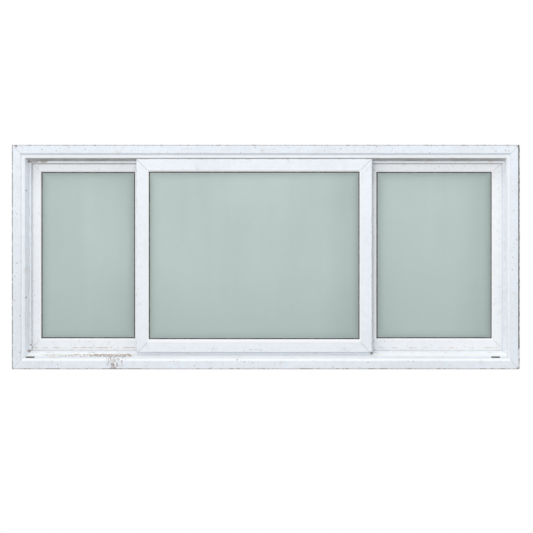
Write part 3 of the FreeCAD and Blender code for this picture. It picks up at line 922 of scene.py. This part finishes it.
spacerLook = {
    "metal": (176, 180, 182),
    "brushed": (206, 209, 210),
    "brushNoise": (1.0, 3.0),
    "brushDrawn": (30.0, 900.0, 30.0),
    "brushRange": (0.3, 0.7),
    "hole": (70, 72, 74),
    "holePitch": 0.006,
    "holeRange": (0.80, 0.95),
    "holeStrength": 0.6,
    "rough": 0.30,
    "brushRough": 0.25,
    "bump": (0.3, 0.0004),
}


def makeSpacer():
    skin = newSkin("spacerMetal", spacerLook["metal"])
    tree = skin.tree
    # row of breather holes
    x, _, z = split(tree, skin.coords)
    along = times(tree, calc(tree, "ADD", x, z), 2 * math.pi / spacerLook["holePitch"])
    holes = ramp(tree, calc(tree, "SINE", along), *spacerLook["holeRange"])
    brushed = stretch(tree, skin.coords, spacerLook["brushDrawn"])
    brushed = cloud(tree, brushed, *spacerLook["brushNoise"])
    lay(skin, spacerLook["brushed"], ramp(tree, brushed, *spacerLook["brushRange"]))
    lay(skin, spacerLook["hole"], holes, spacerLook["holeStrength"])
    skin.shader.inputs["Metallic"].default_value = 1.0
    rough = calc(tree, "MULTIPLY_ADD", brushed, spacerLook["brushRough"], spacerLook["rough"])
    return finishSkin(skin, rough, calc(tree, "SUBTRACT", brushed, holes), spacerLook["bump"])


pileLook = {
    "dark": (150, 149, 147),
    "pale": (196, 195, 192),
    "tufts": (620.0, 3.0, 0.6),
    "dust": (172, 162, 148),
    "dustPatches": ((24.0, 4.0, 0.6), (0.40, 0.70)),
    "dustStrength": 0.45,
    "roughRange": (0.2, 0.8, 0.95, 0.75),
    "sheen": 0.3,
    "bump": (0.6, 0.0006),
}


def makePile():
    skin = newSkin("pileFibre", pileLook["dark"])
    tufts = cloud(skin.tree, skin.coords, *pileLook["tufts"])
    lay(skin, pileLook["pale"], tufts)
    lay(skin, pileLook["dust"], patchy(skin, *pileLook["dustPatches"]), pileLook["dustStrength"])
    skin.shader.inputs["Sheen Weight"].default_value = pileLook["sheen"]
    return finishSkin(skin, ramp(skin.tree, tufts, *pileLook["roughRange"]), tufts, pileLook["bump"])


enamelLook = {
    "clean": (236, 238, 240),
    "aged": (214, 213, 208),
    "age": 0.6,
    "gloss": 0.22,
    "chip": (128, 128, 126),
    "chips": (0.009, 0.0013, 0.35),
    "chipStrength": 0.8,
    "bump": (0.25, 0.0004),
}


def makeEnamel():
    skin = newSkin("hardwareEnamel")
    aged = agedVinyl(skin, enamelLook)
    skin.colour = aged["Colour"]
    chips = specks(skin, *enamelLook["chips"])
    bare = times(skin.tree, chips, enamelLook["chipStrength"])
    lay(skin, enamelLook["chip"], bare)
    feed(skin.tree, bare, skin.shader.inputs["Metallic"])
    height = calc(skin.tree, "SUBTRACT", aged["Height"], chips)
    return finishSkin(skin, aged["Roughness"], height, enamelLook["bump"])


nylonLook = {
    "nylon": (58, 58, 60),
    "worn": (96, 94, 91),
    "wornPatches": ((160.0, 4.0, 0.6), (0.42, 0.66)),
    "rough": 0.40,
    "wornRough": 0.25,
    "grain": (800.0, 2.0),
    "bump": (0.3, 0.0003),
}


def makeNylon():
    skin = newSkin("rollerNylon", nylonLook["nylon"])
    worn = patchy(skin, *nylonLook["wornPatches"])
    lay(skin, nylonLook["worn"], worn)
    rough = calc(skin.tree, "MULTIPLY_ADD", worn, nylonLook["wornRough"], nylonLook["rough"])
    return finishSkin(skin, rough, cloud(skin.tree, skin.coords, *nylonLook["grain"]), nylonLook["bump"])


frameVinyl = makeFrameVinyl()
centreVinyl = makeCentreVinyl()
leftVinyl = makeSashVinyl("left")
rightVinyl = makeSashVinyl("right")
outerGlasses = {
    "left": makeOuterGlass("left", "left_sash_gasket"),
    "centre": makeOuterGlass("centre", "centre_gasket"),
    "right": makeOuterGlass("right", "right_sash_gasket"),
}
pileFibre = makePile()
hardwareEnamel = makeEnamel()
materialEndings = {
    "gasket": makeGasket(),
    "inner_glass": makeInnerGlass(),
    "spacer": makeSpacer(),
    "beads": makeBeadVinyl(),
    "rollers": makeNylon(),
    "latch": hardwareEnamel,
    "pull": hardwareEnamel,
    "pile": pileFibre,
}


def dress(name):
    side = name.split("_")[0]
    if side == "frame":
        return frameVinyl
    if name.endswith("outer_glass"):
        return outerGlasses[side]
    for ending, material in materialEndings.items():
        if name.endswith(ending):
            return material
    return {"centre": centreVinyl, "left": leftVinyl, "right": rightVinyl}[side]


for name, node in nodes.items():
    for slot in node.material_slots:
        slot.material = dress(name)
print("materials on", len(nodes), "nodes")


def addToScene(name, data):
    made = bpy.data.objects.new(name, data)
    scene.collection.objects.link(made)
    return made


def pathPiece(name, lines, layers):
    # polylines as a mesh of edges, with one number or vector stored at each point
    mesh = bpy.data.meshes.new(name)
    built = bmesh.new()
    stored = {}
    for label, kind in layers.items():
        home = built.verts.layers.float_vector if kind == "vector" else built.verts.layers.float
        stored[label] = home.new(label)
    for points in lines:
        last = None
        for place, values in points:
            vert = built.verts.new(place)
            for label, value in values.items():
                vert[stored[label]] = value
            if last is not None:
                built.edges.new((last, vert))
            last = vert
    built.to_mesh(mesh)
    built.free()
    return addToScene(name, mesh)


def newTree(name, sizes):
    tree = bpy.data.node_groups.new(name, "GeometryNodeTree")
    tree.interface.new_socket("Geometry", in_out="INPUT", socket_type="NodeSocketGeometry")
    for label, kind in sizes:
        tree.interface.new_socket(label, in_out="INPUT", socket_type="NodeSocket" + kind)
    tree.interface.new_socket("Geometry", in_out="OUTPUT", socket_type="NodeSocketGeometry")
    given = addNode(tree, "NodeGroupInput").outputs
    result = addNode(tree, "NodeGroupOutput").inputs
    return tree, given, result


def readAttribute(tree, name, kind="FLOAT"):
    node = addNode(tree, "GeometryNodeInputNamedAttribute", data_type=kind)
    node.inputs["Name"].default_value = name
    return node.outputs["Attribute"]


def seededCloud(tree, where, seed, scale, detail):
    node = addNode(tree, "ShaderNodeTexNoise", noise_dimensions="4D")
    for label, value in (("Vector", where), ("W", seed), ("Scale", scale), ("Detail", detail)):
        feed(tree, value, node.inputs[label])
    return node.outputs[0]


def randomVector(tree, low, high, seed):
    node = addNode(tree, "FunctionNodeRandomValue", data_type="FLOAT_VECTOR")
    node.inputs[0].default_value = low
    node.inputs[1].default_value = high
    feed(tree, seed, node.inputs["Seed"])
    return node.outputs[0]


def scatterOn(tree, points, instance, rotation, scale):
    node = addNode(tree, "GeometryNodeInstanceOnPoints")
    feed(tree, points, node.inputs["Points"])
    feed(tree, instance, node.inputs["Instance"])
    feed(tree, rotation, node.inputs["Rotation"])
    feed(tree, scale, node.inputs["Scale"])
    return node.outputs[0]


def endTree(tree, geometry, material, result):
    real = addNode(tree, "GeometryNodeRealizeInstances")
    feed(tree, geometry, real.inputs[0])
    coat = addNode(tree, "GeometryNodeSetMaterial")
    feed(tree, real.outputs[0], coat.inputs["Geometry"])
    feed(tree, material, coat.inputs["Material"])
    feed(tree, coat.outputs[0], result["Geometry"])


def settle(piece, tree, values):
    # runs the tree on the piece and keeps the result as a plain mesh
    modifier = piece.modifiers.new(tree.name, "NODES")
    modifier.node_group = tree
    for item in tree.interface.items_tree:
        if item.in_out == "INPUT" and item.name in values:
            modifier[item.identifier] = values[item.name]
    bpy.context.view_layer.update()
    depsgraph = bpy.context.evaluated_depsgraph_get()
    mesh = bpy.data.meshes.new_from_object(piece.evaluated_get(depsgraph))
    piece.modifiers.remove(modifier)
    piece.data = mesh
    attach(piece, "root")
    print(piece.name, len(mesh.polygons), "faces")


def makeCrumbly(name, look):
    # dull, lumpy stuff, paler on its lumps
    skin = newSkin(name, look["dark"])
    lumps = cloud(skin.tree, skin.coords, *look["lumps"])
    lay(skin, look["pale"], ramp(skin.tree, lumps, *look["paleRange"]))
    return finishSkin(skin, ramp(skin.tree, lumps, *look["roughRange"]), lumps, look["bump"])


sealantValues = {
    "dark": (52, 48, 45),
    "pale": (122, 116, 108),
    "lumps": (130.0, 5.0, 0.7),
    "paleRange": (0.35, 0.68),
    "roughRange": (0.3, 0.7, 0.70, 0.92),
    "bump": (0.8, 0.0012),
    "inset": 0.0032,                              # from the fin's outer edge
    "step": 0.0060,
    "bead": 0.0030,
    "beadSides": 7,
    "swell": (0.30, 0.70, 0.45, 1.0),             # noise to share of the bead's radius
    "swellNoise": (70.0, 2.0),
    "runNoise": 22.0,
    "runDetail": 3.0,
    "seed": 4.0,
    "lanes": (0.0028, 0.0066, 0.0104),            # behind the fin, all three along the right edge only
    # the higher, the more is left along that edge
    "kept": {"right": 0.64, "left": 0.47, "top": 0.42, "bottom": 0.44},
}


def makeSealantTree():
    tree, given, result = newTree("sealantRemains", [
        ("Bead Radius", "Float"), ("Noise Scale", "Float"), ("Seed", "Float"), ("Material", "Material"),
    ])
    where = addNode(tree, "GeometryNodeInputPosition").outputs[0]
    runs = seededCloud(tree, where, given["Seed"], given["Noise Scale"], sealantValues["runDetail"])
    bare = addNode(tree, "FunctionNodeCompare", data_type="FLOAT", operation="GREATER_THAN")
    feed(tree, runs, bare.inputs[0])
    feed(tree, readAttribute(tree, "kept"), bare.inputs[1])
    cut = addNode(tree, "GeometryNodeDeleteGeometry", domain="POINT")
    feed(tree, given["Geometry"], cut.inputs["Geometry"])
    feed(tree, bare.outputs[0], cut.inputs["Selection"])
    curve = addNode(tree, "GeometryNodeMeshToCurve")
    feed(tree, cut.outputs[0], curve.inputs["Mesh"])
    swell = seededCloud(tree, where, given["Seed"], *sealantValues["swellNoise"])
    ring = addNode(tree, "GeometryNodeCurvePrimitiveCircle")
    ring.inputs["Resolution"].default_value = sealantValues["beadSides"]
    feed(tree, given["Bead Radius"], ring.inputs["Radius"])
    bead = addNode(tree, "GeometryNodeCurveToMesh")
    feed(tree, curve.outputs[0], bead.inputs["Curve"])
    feed(tree, ring.outputs["Curve"], bead.inputs["Profile Curve"])
    feed(tree, ramp(tree, swell, *sealantValues["swell"]), bead.inputs["Scale"])
    bead.inputs["Fill Caps"].default_value = True
    endTree(tree, bead.outputs[0], given["Material"], result)
    return tree


def makeSealantPiece():
    inset = sealantValues["inset"]
    left, right = frameLow.x + inset, frameHigh.x - inset
    bottom, top = frameLow.z + inset, frameHigh.z - inset
    sides = {
        "right": ((right, bottom), (right, top)),
        "left": ((left, bottom), (left, top)),
        "top": ((left, top), (right, top)),
        "bottom": ((left, bottom), (right, bottom)),
    }
    lines = []
    for side, (start, end) in sides.items():
        count = round(math.dist(start, end) / sealantValues["step"])
        lanes = sealantValues["lanes"] if side == "right" else sealantValues["lanes"][:1]
        for lane in lanes:
            points = []
            for index in range(count + 1):
                along = index / count
                x = start[0] + (end[0] - start[0]) * along
                z = start[1] + (end[1] - start[1]) * along
                points.append(((x, lane, z), {"kept": sealantValues["kept"][side]}))
            lines.append(points)
    settle(pathPiece("sealantRemains", lines, {"kept": "float"}), makeSealantTree(), {
        "Bead Radius": sealantValues["bead"], "Noise Scale": sealantValues["runNoise"],
        "Seed": sealantValues["seed"], "Material": makeCrumbly("oldSealant", sealantValues),
    })


pileValues = {
    "strips": {                                   # which way each strip's fibres point, across and up
        "sill_pile": (0.0, 1.0),
        "head_pile": (0.0, -1.0),
        "left_jamb_pile": (1.0, 0.0),
        "right_jamb_pile": (-1.0, 0.0),
    },
    "rows": (0.35, 0.75),                         # share of the strip's depth
    "endGap": 0.004,
    "lean": 0.5,                                  # how far the two rows lean together
    "spacing": 0.0016,
    "length": 0.0034,
    "lengthRange": (0.65, 1.1),
    "thickness": 0.00042,
    "tip": 0.00008,
    "fibreSides": 3,
    "sway": Vector((0.5, 0.5, 3.1)),
    "seed": 11,
}


def makeFibreTree():
    tree, given, result = newTree("pileFibres", [
        ("Spacing", "Float"), ("Length", "Float"), ("Thickness", "Float"), ("Seed", "Int"),
        ("Material", "Material"),
    ])
    curve = addNode(tree, "GeometryNodeMeshToCurve")
    feed(tree, given["Geometry"], curve.inputs["Mesh"])
    even = addNode(tree, "GeometryNodeResampleCurve", mode="LENGTH")
    feed(tree, curve.outputs[0], even.inputs["Curve"])
    feed(tree, given["Spacing"], even.inputs["Length"])
    fibre = addNode(tree, "GeometryNodeMeshCone")
    fibre.inputs["Vertices"].default_value = pileValues["fibreSides"]
    fibre.inputs["Radius Top"].default_value = pileValues["tip"]
    feed(tree, given["Thickness"], fibre.inputs["Radius Bottom"])
    feed(tree, given["Length"], fibre.inputs["Depth"])
    aim = addNode(tree, "FunctionNodeAlignRotationToVector", axis="Z")
    feed(tree, readAttribute(tree, "lean", "FLOAT_VECTOR"), aim.inputs["Vector"])
    turn = addNode(tree, "FunctionNodeRotateRotation", rotation_space="LOCAL")
    feed(tree, aim.outputs[0], turn.inputs["Rotation"])
    sway = randomVector(tree, -pileValues["sway"], pileValues["sway"], given["Seed"])
    feed(tree, sway, turn.inputs["Rotate By"])
    reach = addNode(tree, "FunctionNodeRandomValue", data_type="FLOAT")
    reach.inputs[2].default_value, reach.inputs[3].default_value = pileValues["lengthRange"]
    feed(tree, given["Seed"], reach.inputs["Seed"])
    fringe = scatterOn(tree, even.outputs[0], fibre.outputs["Mesh"], turn.outputs[0], reach.outputs[1])
    endTree(tree, fringe, given["Material"], result)
    return tree


def makeFibrePiece():
    gap = pileValues["endGap"]
    lines = []
    for name, (inX, inZ) in pileValues["strips"].items():
        low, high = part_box(name)
        for row in pileValues["rows"]:
            y = low.y + (high.y - low.y) * row
            if inZ:
                z = high.z if inZ > 0 else low.z
                ends = ((low.x + gap, y, z), (high.x - gap, y, z))
            else:
                x = high.x if inX > 0 else low.x
                ends = ((x, y, low.z + gap), (x, y, high.z - gap))
            lean = (inX, (0.5 - row) * pileValues["lean"], inZ)
            lines.append([(place, {"lean": lean}) for place in ends])
    settle(pathPiece("pileFringe", lines, {"lean": "vector"}), makeFibreTree(), {
        "Spacing": pileValues["spacing"], "Length": pileValues["length"],
        "Thickness": pileValues["thickness"], "Seed": pileValues["seed"], "Material": pileFibre,
    })


dirtValues = {
    "dark": (92, 76, 60),
    "pale": (156, 138, 116),
    "lumps": (300.0, 4.0, 0.7),
    "paleRange": (0.35, 0.65),
    "roughRange": (0.3, 0.7, 0.80, 0.98),
    "bump": (0.8, 0.0006),
    "range": (-0.905, -0.552),
    "lip": (0.006, 0.0372),                       # depth and level of the track's floor at its two edges
    "rib": (0.034, 0.0492),
    "patches": (34.0, 4.0, 0.6),
    "patchRange": (0.46, 0.66),
    "heavyFrom": -0.700,
    "fadeLength": 0.10,
    "lightShare": 0.18,
    "density": 38000.0,
    "size": 0.0015,
    "smallest": (0.35, 0.35, 0.25),               # shares of the size
    "largest": (1.3, 1.0, 0.7),
    "fullTurn": (6.28, 6.28, 6.28),
    "seed": 7,
}


def makeDirtTree():
    tree, given, result = newTree("dirtCrumbs", [
        ("Density", "Float"), ("Size", "Float"), ("Heavy From", "Float"), ("Seed", "Int"),
        ("Material", "Material"),
    ])
    where = addNode(tree, "GeometryNodeInputPosition").outputs[0]
    patches = ramp(tree, cloud(tree, where, *dirtValues["patches"]), *dirtValues["patchRange"])
    lightEnd = calc(tree, "SUBTRACT", given["Heavy From"], dirtValues["fadeLength"])
    x = split(tree, where)[0]
    toward = ramp(tree, x, lightEnd, given["Heavy From"], dirtValues["lightShare"], 1.0)
    scatter = addNode(tree, "GeometryNodeDistributePointsOnFaces", distribute_method="RANDOM")
    feed(tree, given["Geometry"], scatter.inputs["Mesh"])
    feed(tree, times(tree, patches, toward, given["Density"]), scatter.inputs["Density"])
    feed(tree, given["Seed"], scatter.inputs["Seed"])
    crumb = addNode(tree, "GeometryNodeMeshIcoSphere")
    feed(tree, given["Size"], crumb.inputs["Radius"])
    crumb.inputs["Subdivisions"].default_value = 1
    turn = randomVector(tree, (0.0, 0.0, 0.0), dirtValues["fullTurn"], given["Seed"])
    size = randomVector(tree, dirtValues["smallest"], dirtValues["largest"], given["Seed"])
    crumbs = scatterOn(tree, scatter.outputs["Points"], crumb.outputs["Mesh"], turn, size)
    endTree(tree, crumbs, given["Material"], result)
    return tree


def makeDirtPiece():
    # the sloped floor of the sill's outer track, from the lip up to the rib
    start, end = dirtValues["range"]
    lip, rib = dirtValues["lip"], dirtValues["rib"]
    mesh = bpy.data.meshes.new("dirtCrumbs")
    mesh.from_pydata([(start, *lip), (end, *lip), (end, *rib), (start, *rib)], [], [(0, 1, 2, 3)])
    settle(addToScene("dirtCrumbs", mesh), makeDirtTree(), {
        "Density": dirtValues["density"], "Size": dirtValues["size"],
        "Heavy From": dirtValues["heavyFrom"], "Seed": dirtValues["seed"],
        "Material": makeCrumbly("driedDirt", dirtValues),
    })


makeSealantPiece()
makeFibrePiece()
makeDirtPiece()


studioValues = {
    "worldLight": 0.506,
    "worldColour": (0.97, 0.985, 1.0, 1.0),
    "backdrop": (1.0, 1.0, 1.0, 1.0),
    "floorRadius": 9.0,
    "floorSides": 96,
    "floorGap": 0.0005,                           # under the window
    "floorPale": (0.90, 0.90, 0.90, 1.0),
    "floorMottle": (0.88, 0.88, 0.88, 1.0),
    "floorPatches": ((5.0, 3.0), (0.3, 0.7)),
    "floorBounce": (0.30, 0.30, 0.30, 1.0),
    "floorRough": 0.9,
    "floorShine": 0.1,
    "lampAim": (0.0, 0.0, 0.43),
    # name, place, size, power
    "lamps": (
        ("topLamp", (0.0, -1.1, 3.8), (4.0, 1.6), 46.0),
        ("frontLamp", (0.0, -9.2, 1.5), (7.2, 2.8), 258.0),
        ("leftLamp", (-7.6, -5.8, 1.7), (5.3, 3.2), 145.0),
        ("rightLamp", (7.6, -5.8, 1.7), (5.3, 3.2), 64.0),
        ("backLamp", (5.0, 7.5, 3.2), (5.0, 3.0), 350.0),
    ),
}


def seenAsWhite(tree):
    # camera, mirror and see-through rays all meet the white backdrop
    path = addNode(tree, "ShaderNodeLightPath").outputs
    return strongest(tree, [path["Is Camera Ray"], path["Is Glossy Ray"], path["Is Transmission Ray"]])


def makeWorld():
    world = bpy.data.worlds.new("studio")
    scene.world = world
    world.use_nodes = True
    tree = world.node_tree
    tree.nodes.clear()
    ambient = addNode(tree, "ShaderNodeBackground")
    ambient.inputs["Color"].default_value = studioValues["worldColour"]
    ambient.inputs["Strength"].default_value = studioValues["worldLight"]
    backdrop = addNode(tree, "ShaderNodeBackground")
    backdrop.inputs["Color"].default_value = studioValues["backdrop"]
    mixed = addNode(tree, "ShaderNodeMixShader")
    feed(tree, seenAsWhite(tree), mixed.inputs[0])
    feed(tree, ambient.outputs[0], mixed.inputs[1])
    feed(tree, backdrop.outputs[0], mixed.inputs[2])
    out = addNode(tree, "ShaderNodeOutputWorld")
    feed(tree, mixed.outputs[0], out.inputs["Surface"])


def makeLamp(name, place, size, power):
    lamp = bpy.data.lights.new(name, "AREA")
    lamp.shape = "RECTANGLE"
    lamp.size, lamp.size_y = size
    lamp.energy = power
    holder = addToScene(name, lamp)
    holder.location = place
    aim = Vector(studioValues["lampAim"]) - Vector(place)
    holder.rotation_euler = aim.to_track_quat("-Z", "Y").to_euler()


def makeFloor():
    mesh = bpy.data.meshes.new("floor")
    built = bmesh.new()
    bmesh.ops.create_circle(built, cap_ends=True, segments=studioValues["floorSides"],
                            radius=studioValues["floorRadius"])
    level = cadLow.z - studioValues["floorGap"]
    bmesh.ops.translate(built, verts=built.verts, vec=(0.0, 0.0, level))
    built.to_mesh(mesh)
    built.free()
    floor = addToScene("floor", mesh)
    skin = newSkin("paleFloor")
    tree, shader = skin.tree, skin.shader
    mottle = patchy(skin, *studioValues["floorPatches"])
    pale = tint(tree, mottle, studioValues["floorPale"], studioValues["floorMottle"])
    seen = tint(tree, seenAsWhite(tree), studioValues["floorBounce"], pale)
    feed(tree, seen, shader.inputs["Base Color"])
    shader.inputs["Roughness"].default_value = studioValues["floorRough"]
    shader.inputs["Specular IOR Level"].default_value = studioValues["floorShine"]
    mesh.materials.append(skin.material)


cameraValues = {
    "turn": 8.4,            # degrees round to the right
    "acrossFrame": 2.1427,  # metres that the picture spans
    "aside": 0.0031,
    "level": 0.3964,
    "away": 14.0,
    "farEnd": 100.0,
}


def makeCamera():
    turn = math.radians(cameraValues["turn"])
    lens = bpy.data.cameras.new("photoView")
    lens.type = "ORTHO"
    lens.ortho_scale = cameraValues["acrossFrame"]
    lens.clip_end = cameraValues["farEnd"]
    camera = addToScene("photoView", lens)
    aside, away = cameraValues["aside"], cameraValues["away"]
    camera.location = (
        aside * math.cos(turn) + away * math.sin(turn),
        aside * math.sin(turn) - away * math.cos(turn),
        cameraValues["level"],
    )
    camera.rotation_euler = (math.pi / 2, 0.0, turn)
    scene.camera = camera


makeWorld()
for lampSetting in studioValues["lamps"]:
    makeLamp(*lampSetting)
makeFloor()
makeCamera()
scene.view_settings.view_transform = "Standard"
print("studio ready")
